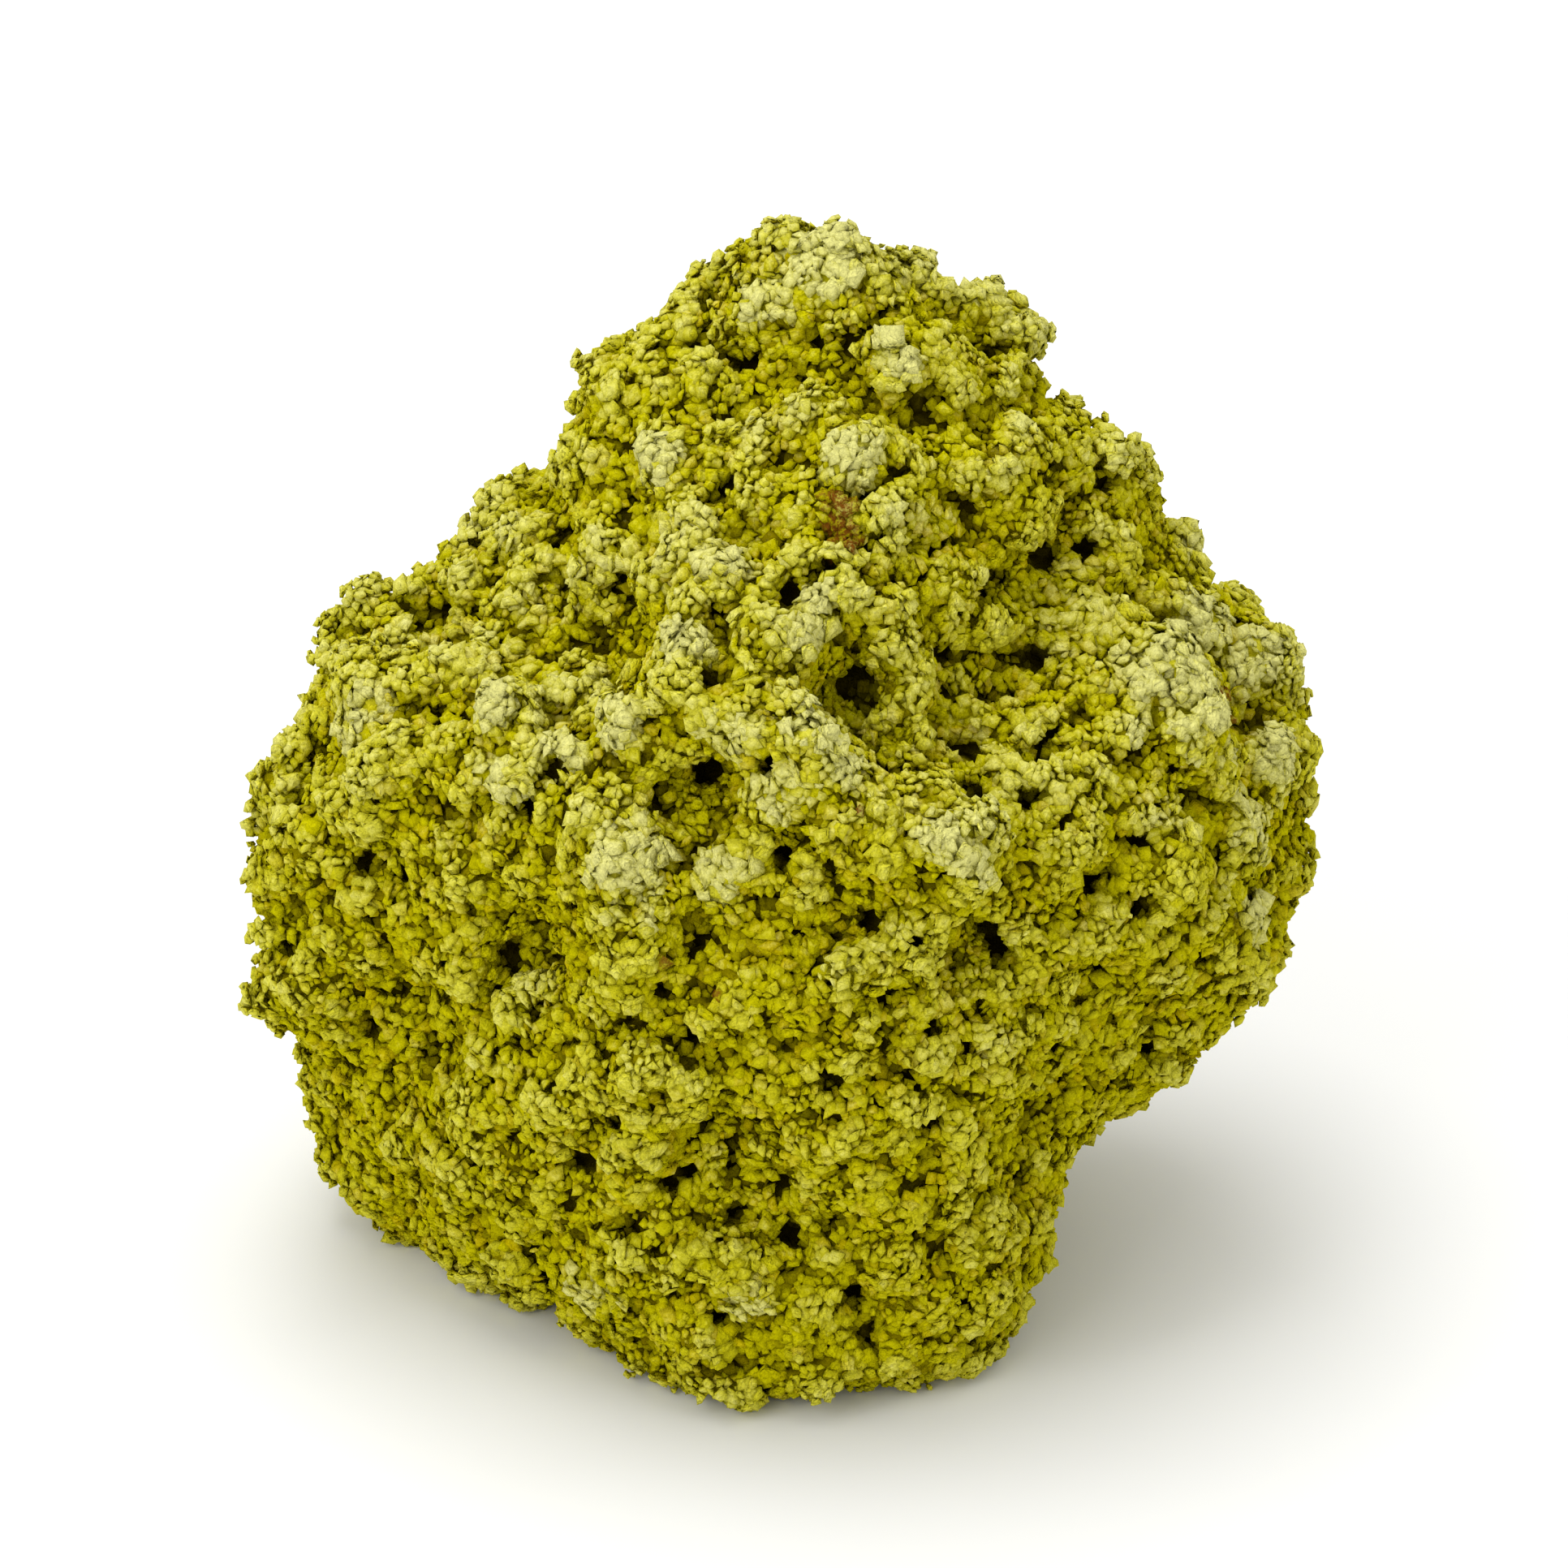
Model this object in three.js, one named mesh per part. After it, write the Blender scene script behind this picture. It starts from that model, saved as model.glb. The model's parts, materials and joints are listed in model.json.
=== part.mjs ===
// A hand specimen of nontronite: a spongy, lumpy mass of clay mineral, as one closed solid in millimetres.
// The origin is on the surface it stands on, under the middle of its box; +Z is up and -Y is its front.
import * as THREE from 'three';
import { ImprovedNoise } from 'three/addons/math/ImprovedNoise.js';
import { mergeVertices } from 'three/addons/utils/BufferGeometryUtils.js';

// Driving dimensions. The specimen is described as it is displayed, seen from its front and from a little
// above: each landmark is [across, rise, toward], in millimetres, where rise and toward are turned by
// DISPLAY_TILT from up and forward. The rise is 0 at the foot, under the middle of the mass.
const DISPLAY_TILT = THREE.MathUtils.degToRad(28);
const HEART = new THREE.Vector3(0, 2, 29); // every part of the surface can be seen from this point
const SPHERE_DETAIL = 20; // 20 x (detail + 1)^2 triangles
const DEPTH_SPREAD = 0.825; // evens out the triangles of a mass that is shallower than it is wide
const SKIN = 0.7; // how far the heads stand proud of the broad form, on the whole
const BASE_LEVEL = 0.4; // the lowest bit of the foot is worn flat at this height

// The rim that bounds the mass in the display view, clockwise from the peak.
const RIM = [
  [1, 62.5, 19.5], [7, 58.5, 17], [8.5, 57.5, 15], [11, 59, 17], [14, 57, 15], [15.5, 53, 13.5],
  [15, 51, 12], [17.5, 50, 12], [20.5, 47.5, 9.5], [22, 45, 8.5], [24, 41.5, 8], [26, 41, 8.5],
  [28.5, 39, 8], [29, 36.5, 8.5], [28.5, 35.5, 8.5], [30.5, 34, 9.5], [31.5, 31, 10], [30, 28, 10],
  [31.5, 25, 9], [30, 21.5, 7], [30, 18.5, 5.5], [26, 15.5, 4], [23, 14, 3], [23.5, 11.5, 1],
  [20, 10.5, 0], [18, 8.5, -1], [15, 6, -2.5], [12.5, 2.5, -3],
  [-25.5, 6.5, -7], [-27.5, 9.5, -3], [-27.5, 13.5, 2], [-30.5, 16, 6], [-30, 21.5, 6.5], [-32, 26, 9],
  [-30, 31, 8.5], [-28.5, 35, 8], [-27.5, 38, 8], [-26, 39.5, 8], [-22, 41.5, 8.5], [-17.5, 45, 10],
  [-14.5, 46.5, 10.5], [-12.5, 50, 12], [-10, 54.5, 14], [-6.5, 55.5, 15.5], [-6, 57.5, 17], [-3.5, 60, 18.5],
];

// The front edge of the foot, from its right end to its left.
const FOOT = [
  [12.5, -1, 2], [12.5, -3, 5.5], [12, -6, 11], [8, -6.5, 12], [4, -7.5, 14], [-0.5, -7, 13.5], [-3, -6, 11],
  [-6, -7, 13], [-10, -5, 9], [-14, -2, 3.5], [-19, 0, 0], [-22.5, 3, -6],
];

// The crooked spine that runs from the peak down to the prow, and the crests beside it.
const CRESTS = [
  [3.5, 60, 22], [-0.5, 57.5, 21.5], [6, 55, 25], [8, 52.5, 25.5], [4, 48, 28.5], [2.5, 41.5, 32], [2, 37.5, 34],
  [2.5, 32, 36], [4, 29.5, 36.5], [8, 25.5, 35.5], [11, 24.5, 34.5], [-7.5, 48, 24.5], [-4, 42, 30],
  [-6.5, 37.5, 32], [-10, 32.5, 31.5], [-3.5, 31.5, 35], [-17, 33.5, 26], [-24.5, 33, 20],
  [14, 46, 24], [19, 46, 17.5], [9.5, 48, 26], [23, 35, 23], [6.5, 38, 31.5],
];

// The hollows of the upper slope.
const HOLLOWS = [
  [-2, 53, 21.5], [-9.5, 41, 25], [-13.5, 43, 19.5], [-20.5, 39, 16.5], [-10.5, 37, 26.5], [-4.5, 29.5, 32.5],
  [11.5, 54.5, 19.5], [15, 41.5, 22.5], [17.5, 42.5, 19.5], [4, 34.5, 31.5], [10, 35, 27.5], [15, 36.5, 24.5],
  [10.5, 31.5, 30.5],
];

// The rest of the upper slope, and the edge where it breaks to the steep front.
const SLOPE = [
  [-10.5, 51.5, 17], [-16, 43.5, 15.5], [-25, 37, 15], [9, 41.5, 28.5], [20, 39.5, 19.5], [26.5, 36.5, 15],
  [27.5, 32, 17.5], [20, 32, 25.5], [15.5, 29.5, 30], [-23, 29.5, 22.5], [-17, 28.5, 27], [-12.5, 23, 30],
  [-8.5, 24, 33], [-3, 23, 33.5], [1.5, 24.5, 35], [14, 23.5, 32], [20, 22.5, 27], [24, 18.5, 21],
  [26, 25, 20.5], [29, 22.5, 13.5], [27.5, 18.5, 13.5],
];

// The steep front below that edge: ribs, valleys and lobes down to the foot.
const FRONT = [
  [8, 20.5, 33], [4.5, 18, 32], [3.5, 14, 30.5], [6.5, 5.5, 25], [4.5, -0.5, 20], [10, -1.5, 18], [12.5, 11, 25],
  [13, 5, 17], [17.5, 13.5, 19], [19.5, 16.5, 22], [22, 12, 8.5], [17.5, 8.5, 8], [-4.5, 15, 31], [-9.5, 18, 30.5],
  [-14.5, 22, 28], [-4, 7.5, 23.5], [0, 6.5, 26.5], [-0.5, -0.5, 19.5], [-5, -3, 17.5], [-9.5, 4, 23],
  [-10.5, 8.5, 25.5], [-13, 8, 21.5], [-10, -1.5, 14.5], [-16, 2, 12.5], [-19, 6.5, 15], [-15.5, 13.5, 22.5],
  [-15.5, 19, 23.5], [-22.5, 19, 17.5], [-24, 15, 12], [-21.5, 11, 13], [-25, 8.5, 4.5], [-26.5, 25, 19],
  [-29, 22.5, 13], [-28, 16.5, 11.5], [-20, 23.5, 23.5],
];

// The back, away from the display side, as plain [x, y, z].
const BACK = [
  [2, 21, 57], [-8, 22, 48], [-18, 20, 38], [-26, 15, 31], [-27, 16, 18], [-22, 18, 6], [-9, 25, 30],
  [-13, 22, 14], [1, 28, 37], [2, 25, 18], [2, 21, 2], [9, 23, 50], [12, 26, 36], [14, 24, 20], [9, 18, 4],
  [22, 19, 38], [25, 20, 27], [20, 17, 13], [28, 13, 24], [11.5, 11, 1.5], [-20, 14, 2], [-16, 24, 22], [-4, 27, 24],
  [19, 22, 30], [6, 26, 28], [-3, 23, 44],
];

// Round knobs and open pits too large to count as texture: [across, rise, toward, width, height].
const KNOBS = [
  [11, 56.5, 20, 5.5, 1.6], [14, 46, 24, 5, 1.8], [19.5, 46, 17, 5.5, 1.6], [28, 37, 12, 5.5, 1.2],
  [30.5, 30, 14, 6, 0.8], [22.5, 12, 8, 5, 1.8], [-30, 16, 9, 4.5, 2], [-9.5, 24, 33, 5.5, 1.5],
  [-17, 33.5, 26, 6, 1.2], [10, 25, 35, 5.5, 1.4], [23, 35.5, 23, 6, 1.2], [-27.5, 38, 9.5, 5, 1.4],
  [-31.5, 26, 10, 5, 0.8],
  [-9, 50, 19, 5.5, 1.4], [2.5, 32.5, 36, 4.5, 1.2], [-3, 57, 20, 5, 1], [17, 49, 13, 4.5, 1.4],
];
const PITS = [
  [-20.5, 39, 17, 2.6, -3.2], [-10.5, 37, 27, 2.8, -3.2], [4, 34.5, 32, 2.8, -3], [15, 41.5, 23, 3, -2.4],
  [15, 36.5, 25, 2.8, -2.6], [10.5, 31.5, 31, 2.8, -2.8], [-15.5, 19, 24, 2.8, -2.6], [12, 19.5, 31, 2.8, -2.6],
  [0, 3, 24, 2.8, -2.8], [-4, 8.5, 24, 3.2, -2.8], [-2, 53, 22, 2.6, -2.4], [-13.5, 43, 20, 2.6, -2.4],
  [18, 18, 24, 2.6, -2.2], [-22, 25, 21, 2.8, -2.2], [-12, 7, 22, 2.6, -2.4], [18, 23, 27, 2.6, -2.2],
  [9, 54, 21, 2.6, -2.2], [-24, 15, 12, 2.6, -2.2], [4.5, -3, 18, 2.6, -2.2], [-5, 30, 33, 2.6, -2.2],
];

// Knobs and pits of the back, as plain [x, y, z, width, height].
const BACK_FEATURES = [
  [-14, 22, 42, 7, 2.2], [8, 25, 44, 8, 1.8], [-4, 27, 33, 6, -2.6], [16, 24, 30, 7, 2], [-20, 20, 26, 7, 1.8],
  [4, 27, 24, 7, 1.8], [-10, 25, 18, 6, -2.2], [14, 22, 14, 6, -2], [22, 19, 20, 6, 1.6], [-18, 19, 10, 6, 1.6],
  [2, 24, 10, 6, 1.8], [26, 14, 34, 5, -1.8], [-25, 17, 34, 5, -1.8], [4, 24, 52, 5, -1.6], [-6, 25, 26, 4, -2],
  [20, 22, 37, 4, -2], [-1, 26, 41, 3, -2.2], [10, 25, 20, 3, -2.2], [-24, 17, 20, 3, -2.2],
];

// Cauliflower heads that cover the whole mass, in rounded cells with a crease between them.
const HEAD_SPACING = 4.6; // the least distance between two heads
const HEAD_HEIGHT = 2;
const HEAD_CREASE = 0.8;
const HEAD_TRIES = 6000;
const SWELL = { length: 8, height: 1.2 }; // uneven swellings between the heads and the broad form
const SEED = 7;

const OLIVE_YELLOW = 0x9c9423;

/** A repeatable stream of numbers from 0 to 1. */
function seededRandom(seed) {
  let state = seed;
  return () => {
    state = (state + 0x6d2b79f5) | 0;
    let mixed = Math.imul(state ^ (state >>> 15), 1 | state);
    mixed = (mixed + Math.imul(mixed ^ (mixed >>> 7), 61 | mixed)) ^ mixed;
    return ((mixed ^ (mixed >>> 14)) >>> 0) / 4294967296;
  };
}

/** A display landmark in the specimen's own frame. */
function fromDisplay([across, rise, toward]) {
  const up = rise * Math.cos(DISPLAY_TILT) + toward * Math.sin(DISPLAY_TILT);
  const back = rise * Math.sin(DISPLAY_TILT) - toward * Math.cos(DISPLAY_TILT);
  return new THREE.Vector3(across, back, up);
}

/** Solves a square linear system by elimination with row swaps. */
function solve(matrix, values) {
  const rows = matrix.map((row, index) => [...row, values[index]]);
  const size = rows.length;
  for (let column = 0; column < size; column += 1) {
    let pivot = column;
    for (let row = column + 1; row < size; row += 1) {
      if (Math.abs(rows[row][column]) > Math.abs(rows[pivot][column])) pivot = row;
    }
    [rows[column], rows[pivot]] = [rows[pivot], rows[column]];
    for (let row = column + 1; row < size; row += 1) {
      const factor = rows[row][column] / rows[column][column];
      for (let k = column; k <= size; k += 1) rows[row][k] -= factor * rows[column][k];
    }
  }
  const answer = new Array(size).fill(0);
  for (let row = size - 1; row >= 0; row -= 1) {
    let rest = rows[row][size];
    for (let k = row + 1; k < size; k += 1) rest -= rows[row][k] * answer[k];
    answer[row] = rest / rows[row][row];
  }
  return answer;
}

/** The thin-plate kernel between two directions. */
function thinPlate(a, b) {
  const squared = a.distanceToSquared(b);
  return squared < 1e-12 ? 0 : squared * Math.log(squared);
}

/** A smooth radius over all directions that passes through every landmark. */
function radiusThrough(landmarks) {
  const directions = landmarks.map((point) => point.clone().sub(HEART).normalize());
  const radii = landmarks.map((point) => point.distanceTo(HEART));
  const linear = (d) => [1, d.x, d.y, d.z];
  const rows = directions.map((a) => [...directions.map((b) => thinPlate(a, b)), ...linear(a)]);
  for (let term = 0; term < 4; term += 1) {
    rows.push([...directions.map((d) => linear(d)[term]), 0, 0, 0, 0]);
  }
  const weights = solve(rows, [...radii, 0, 0, 0, 0]);
  return (direction) => {
    let radius = 0;
    directions.forEach((d, index) => {
      radius += weights[index] * thinPlate(direction, d);
    });
    linear(direction).forEach((value, term) => {
      radius += weights[directions.length + term] * value;
    });
    return radius;
  };
}

/** Head centres scattered on the broad form, no two nearer than HEAD_SPACING. */
function scatterHeads(broadRadius, random) {
  const heads = [];
  for (let attempt = 0; attempt < HEAD_TRIES; attempt += 1) {
    const centre = new THREE.Vector3(random() - 0.5, random() - 0.5, random() - 0.5);
    const size = 0.6 + 0.8 * random();
    if (centre.length() > 0.5) continue;
    centre.normalize();
    centre.multiplyScalar(broadRadius(centre));
    if (heads.every((head) => head.centre.distanceTo(centre) > HEAD_SPACING)) heads.push({ centre, size });
  }
  return heads;
}

/** How far the heads stand out at a point: a dome for each cell, less where two cells meet. */
function headRelief(point, heads) {
  let nearest = Infinity;
  let second = Infinity;
  let size = 1;
  for (const head of heads) {
    const distance = point.distanceTo(head.centre) / HEAD_SPACING;
    if (distance < nearest) {
      second = nearest;
      nearest = distance;
      size = head.size;
    } else if (distance < second) {
      second = distance;
    }
  }
  const dome = Math.sqrt(Math.max(0, 1 - nearest * nearest));
  const crease = Math.max(0, 1 - (second - nearest) / 0.3);
  return HEAD_HEIGHT * size * (dome - 0.7) - HEAD_CREASE * crease;
}

/** A knob or pit, from the place it is at and its listed width and height. */
function featureAt(place, [, , , width, height]) {
  return { direction: place.sub(HEART).normalize(), width, height };
}

/** How far the knobs and pits move the surface in a direction. */
function featureRelief(direction, radius, features) {
  let relief = 0;
  for (const feature of features) {
    const away = direction.distanceTo(feature.direction) * radius;
    const share = Math.max(0, 1 - (away / feature.width) ** 2);
    relief += feature.height * share * share * (3 - 2 * share);
  }
  return relief;
}

function massGeometry() {
  const display = [...RIM, ...FOOT, ...CRESTS, ...HOLLOWS, ...SLOPE, ...FRONT].map(fromDisplay);
  const landmarks = [...display, ...BACK.map((point) => new THREE.Vector3(...point))];
  const broadRadius = radiusThrough(landmarks);
  const heads = scatterHeads(broadRadius, seededRandom(SEED));
  const noise = new ImprovedNoise();
  const features = [
    ...[...KNOBS, ...PITS].map((feature) => featureAt(fromDisplay(feature), feature)),
    ...BACK_FEATURES.map((feature) => featureAt(new THREE.Vector3(...feature.slice(0, 3)), feature)),
  ];

  let geometry = new THREE.IcosahedronGeometry(1, SPHERE_DETAIL);
  geometry.deleteAttribute('normal');
  geometry.deleteAttribute('uv');
  geometry = mergeVertices(geometry, 1e-5);
  const positions = geometry.attributes.position;
  const direction = new THREE.Vector3();
  for (let index = 0; index < positions.count; index += 1) {
    direction.fromBufferAttribute(positions, index);
    direction.y *= DEPTH_SPREAD;
    direction.normalize();
    const broad = broadRadius(direction) - SKIN;
    const place = direction.clone().multiplyScalar(broad);
    const swell = noise.noise(place.x / SWELL.length, place.y / SWELL.length, place.z / SWELL.length);
    let radius = broad + headRelief(place, heads) + SWELL.height * swell;
    radius += featureRelief(direction, broad, features);
    const drop = HEART.z - BASE_LEVEL;
    if (radius * direction.z < -drop) radius = drop / -direction.z;
    const point = direction.clone().multiplyScalar(radius).add(HEART);
    positions.setXYZ(index, point.x, point.y, point.z);
  }
  geometry.computeBoundingBox();
  const box = geometry.boundingBox;
  geometry.translate(-(box.min.x + box.max.x) / 2, -(box.min.y + box.max.y) / 2, -box.min.z);
  geometry.computeVertexNormals();
  return geometry;
}

const clay = new THREE.MeshStandardMaterial({ color: OLIVE_YELLOW, roughness: 0.95, metalness: 0 });
const mass = new THREE.Mesh(massGeometry(), clay);
mass.name = 'nontronite_mass';

const specimen = new THREE.Group();
specimen.add(mass);
export default specimen;
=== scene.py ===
import itertools
import json
import math

import bmesh
import bpy
import numpy as np
from bpy.props import FloatProperty, FloatVectorProperty, IntProperty, PointerProperty
from mathutils import Matrix, Vector, noise
from mathutils.bvhtree import BVHTree

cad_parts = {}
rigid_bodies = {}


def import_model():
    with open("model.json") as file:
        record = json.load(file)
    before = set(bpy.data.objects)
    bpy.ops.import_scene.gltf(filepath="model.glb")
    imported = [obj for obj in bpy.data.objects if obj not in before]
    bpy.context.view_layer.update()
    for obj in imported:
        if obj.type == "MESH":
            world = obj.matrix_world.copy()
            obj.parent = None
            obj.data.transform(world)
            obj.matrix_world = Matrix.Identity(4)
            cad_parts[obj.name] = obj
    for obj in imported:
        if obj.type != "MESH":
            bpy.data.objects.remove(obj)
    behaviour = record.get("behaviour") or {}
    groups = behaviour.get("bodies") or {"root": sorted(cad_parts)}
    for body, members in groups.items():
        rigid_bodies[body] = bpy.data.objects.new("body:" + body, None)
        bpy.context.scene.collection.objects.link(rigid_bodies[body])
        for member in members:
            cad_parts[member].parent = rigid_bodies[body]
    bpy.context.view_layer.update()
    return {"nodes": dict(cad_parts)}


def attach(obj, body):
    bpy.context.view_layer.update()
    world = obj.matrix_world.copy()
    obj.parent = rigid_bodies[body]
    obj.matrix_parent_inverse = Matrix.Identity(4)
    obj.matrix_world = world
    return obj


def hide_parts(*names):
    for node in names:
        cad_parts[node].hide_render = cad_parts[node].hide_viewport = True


bl_info = {
    "name": "Nontronite specimen",
    "version": (1, 0, 0),
    "blender": (4, 5, 0),
    "location": "View3D > Sidebar > Nontronite",
    "description": "Grows a crust of fused nodules over a mineral specimen and sets it in a pale studio",
    "category": "Add Mesh",
}

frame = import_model()

NODE = "nontronite_mass"
BODY = "root"
MM = 0.001  # one millimetre in metres; the nodules are laid out in millimetres

# The display face is seen from in front, looking down by VIEW_TILT at VIEW_TARGET (millimetres).
VIEW_TILT = math.radians(28.0)
VIEW_DISTANCE = 800.0
VIEW_TARGET = Vector((0.25, 0.96, 29.81))
VIEW_WIDTH = 89.84  # how much of the breadth at the target is in view
TARGET_RISE = 28.9  # how far up the display face the target lies
ACROSS = Vector((1.0, 0.0, 0.0))
UPWARD = Vector((0.0, math.sin(VIEW_TILT), math.cos(VIEW_TILT)))
TOWARD = Vector((0.0, -math.cos(VIEW_TILT), math.sin(VIEW_TILT)))

# Features of the display face: millimetres across it, millimetres up it, and how wide each one is.
DARK_HOLES = (
    (-2.1, 53.1, 0.7), (0.9, 54.8, 0.7), (-5.9, 50.3, 0.7), (11.3, 54.5, 0.7), (-13.5, 43.1, 0.7),
    (-20.4, 38.9, 1.9), (-9.7, 40.8, 0.7), (-10.5, 37.1, 1.3), (-13.8, 39.2, 0.7), (-16.3, 35.9, 0.7),
    (-4.2, 39.4, 0.7), (0.2, 40.1, 1.0), (3.9, 34.3, 1.9), (9.7, 36.2, 0.7), (9.7, 34.5, 0.7),
    (10.3, 31.3, 1.3), (14.8, 36.4, 1.3), (15.2, 41.7, 1.7), (17.6, 42.4, 1.1), (14.1, 28.5, 0.7),
    (-1.3, 29.6, 0.7), (-4.7, 29.3, 1.2), (-13.2, 30.1, 0.7), (-15.4, 27.3, 0.7), (-22.1, 25.5, 0.7),
    (-24.5, 24.1, 0.7), (-15.6, 18.9, 1.4), (-17.0, 16.4, 0.7), (-23.8, 14.8, 0.7), (-4.5, 20.1, 0.7),
    (-5.4, 14.1, 0.7), (-7.0, 16.4, 0.7), (-4.5, 9.4, 0.7), (-5.2, 6.6, 0.7), (-2.6, 4.3, 0.7),
    (0.1, 3.1, 1.1), (4.1, -0.6, 0.7), (4.8, -3.5, 0.7), (-9.7, 9.0, 0.7), (-11.9, 7.1, 0.7),
    (-13.5, 2.7, 0.7), (-18.4, 6.9, 0.7), (-5.6, 0.8, 0.7), (-3.8, -2.4, 0.7), (12.0, 19.6, 1.2),
    (17.9, 23.1, 0.7), (21.1, 22.0, 0.7), (18.3, 18.0, 0.7), (24.4, 18.4, 0.7), (26.9, 22.9, 0.7),
    (20.6, 25.2, 0.7), (8.6, 9.2, 0.7), (14.1, 6.4, 0.7), (21.1, 13.1, 0.7), (4.6, 20.8, 0.7),
    (7.6, 19.6, 0.7), (9.0, 14.8, 0.7),
)
PALE_PATCHES = (
    (23.2, 35.2, 8.0), (22.0, 36.4, 5.0), (2.3, 32.0, 4.0), (3.9, 30.1, 2.6), (-9.1, 24.1, 5.0),
    (2.0, 59.4, 4.6), (-0.7, 57.5, 3.8), (6.0, 54.8, 2.0), (7.4, 53.4, 2.2), (3.9, 48.0, 3.2),
    (-7.7, 48.0, 2.8), (-3.8, 42.2, 3.2), (-6.3, 37.3, 2.6), (1.8, 38.0, 3.2), (-17.0, 33.4, 3.2),
    (-10.0, 32.7, 3.2), (-3.5, 31.7, 3.6), (-16.5, 29.0, 3.4), (-13.4, 31.0, 3.0), (-0.5, 28.4, 3.4),
    (-3.5, 23.6, 2.6), (8.6, 25.9, 2.8), (10.9, 24.5, 2.8), (24.8, 38.5, 3.6), (28.6, 30.6, 4.2),
    (26.9, 26.9, 4.0), (27.4, 36.5, 3.8), (27.4, 21.0, 3.0), (-10.7, -0.1, 3.2), (-2.1, -0.8, 2.6),
    (-24.5, 32.9, 3.4),
)
IRON_STAINS = (
    (3.2, 44.8, 3.0), (3.4, 43.2, 2.2), (25.2, 34.0, 2.6), (25.6, 33.2, 2.4), (4.1, 27.3, 1.8),
    (-4.0, 16.2, 1.4), (-6.8, 18.3, 1.2), (7.2, 26.6, 0.8),
)

# The edges of patches and holes are made ragged by noise: how strong, how wide in millimetres, which seed.
PATCH_EDGES = ((0.9, 1.7, 41), (0.6, 0.8, 42))
HOLE_EDGES = ((0.6, 1.6, 51), (0.4, 0.8, 52))
PATCH_FADE = (0.25, 1.05)  # where a patch begins and where it is at its full strength
HOLE_MARGIN = 0.32  # a named hole is this much wider at the middles of the nodules round it
HOLE_LEAD = 2.5  # a named hole begins this far outside the form

# The noise that the lumps, holes and pits are made with. Each seed gives it at places of its own.
SEED_STEP = (13.7, 7.3, 3.1)  # how far one seed's noise lies from the next
WARP_SEEDS = (31, 32, 33)
LUMPS = ((1.7, 3), (0.9, 4), (0.45, 9))  # wide, middling and fine: share of the lump width, seed
FOLDS = ((1.5, 61, 0.30), (0.7, 62, 0.28))  # folds and creases: share of the lump width, seed, reach
CRACKS = ((0.04, 0.20), (0.05, 0.24), (0.05, 0.40))  # where each size of crack begins to close and is shut
HOLE_WIDTHS = (0.75, 0.6, 6.0, 15)  # share of the radius, play in it, wavelength in millimetres, seed
PIT_WIDTHS = (1.0, 0.9, 3.0, 16)
HOLE_SEED = 12
PIT_SEED = 13

# Dust has drifted onto what faces up, and the foot stands out at the left.
FACING_UP = (-0.1, 0.6)  # upward part of the normal where dust begins to lie, and where it all lies
DRIFTS = ((6.0, 21), (1.7, 22))  # wavelength in millimetres and seed
DRIFT_FADE = (0.05, 0.45)
DRIFT_DUST = 0.4  # how much dust lies in a drift
FOOT_RISE = (9.0, 1.0)  # height where the foot begins, and where it stands out fully, in millimetres
FOOT_SIDE = (13.0, 4.0)  # how far to the right it begins, and where it stands out fully

# The lattice that the balls of the crust sit on.
LATTICE_MARGIN = 5.0  # millimetres of lattice outside the form
LATTICE_SIDE = 32  # cells along the block of the lattice that repeats
SHELL_REACH = 7  # cells from the skin of the form within which the crust is shaped
LOOSE_ROUNDS = (17.5, 15.5, 16.5)  # most open neighbours of a cell that is kept, round by round
THIN_SHARE = 0.19  # a spot with less of the crust than this around it is too thin to keep
DEEPEST_LIFT = -0.55  # lift below which a ball lies too deep in a hole to be a nodule
NODULE_PLAY = (0.35, 2.2, 71)  # play in the radius of a nodule, wavelength in millimetres, seed
DUSTY_NODULE = 0.22  # how much larger a nodule is under full dust
SECOND_BALL = 1.28  # radius of a ball just under the face, in nodule radii
DUSTY_SECOND_BALL = 0.45  # how much more it is under full dust
INNER_BALL = 0.9  # radius of the balls further in, in cells
DEEP_BALL = 1.9  # radius of the thinned out balls in the middle, in cells
# The low tip given to the core puts painted shade on it between the nodules, keeps the crest colour off it
# and lessens the pale crust on it.
CORE_TIP = -0.5  # the core counts as this far in from the tips of the nodules
FLOAT_MARKS = ("radius", "lift", "open", "up", "dust", "stain", "tint")

# How the nodules differ: their tilt in radians, and their size across and outward in radii.
TILT = 0.5
LEAST_STRETCH = (0.85, 0.85, 0.60)
MOST_STRETCH = (1.45, 1.45, 1.00)
DUST_FLATNESS = 0.45  # how much flatter a nodule is under full dust

# Where each change of colour begins and ends, on the value that drives it.
RANGES = {
    "crease": (-0.70, -0.12),
    "unshaded_by_facing": (-0.7, 0.1),
    "raised": (-0.6, 0.0),
    "ochre": (1.0, 1.7),
    "dry height": (0.45, 1.35),
    "dry tip": (-0.5, 0.4),
    "dusty": (1.75, 3.35),
    "stained": (1.6, 2.4),
}

# The stage, in metres.
TOP_LIGHT_PLACE = (-0.10, 0.10, 0.75)
SIDE_LIGHT_PLACE = (-0.45, -0.55, 0.45)
LIGHT_SIZE = 0.5

# The nodules are parted into wedges round the upright axis, each with as many as its neighbours.
WEDGES = ("front_left", "front", "right", "back", "left")
WEDGE_START = math.radians(-150.0)  # where the first wedge begins, counted from +X towards +Y
CORE_NAME = "crust_core"
SEED_NAME = "nodule_seeds"
PIECES = (CORE_NAME, *("nodules_" + name for name in WEDGES))


def length(name, description, default_mm, **limits):
    """A length property whose default is given in millimetres."""
    return FloatProperty(name=name, description=description, default=default_mm * MM, unit="LENGTH",
                         precision=5, min=0.0, **limits)


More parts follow.
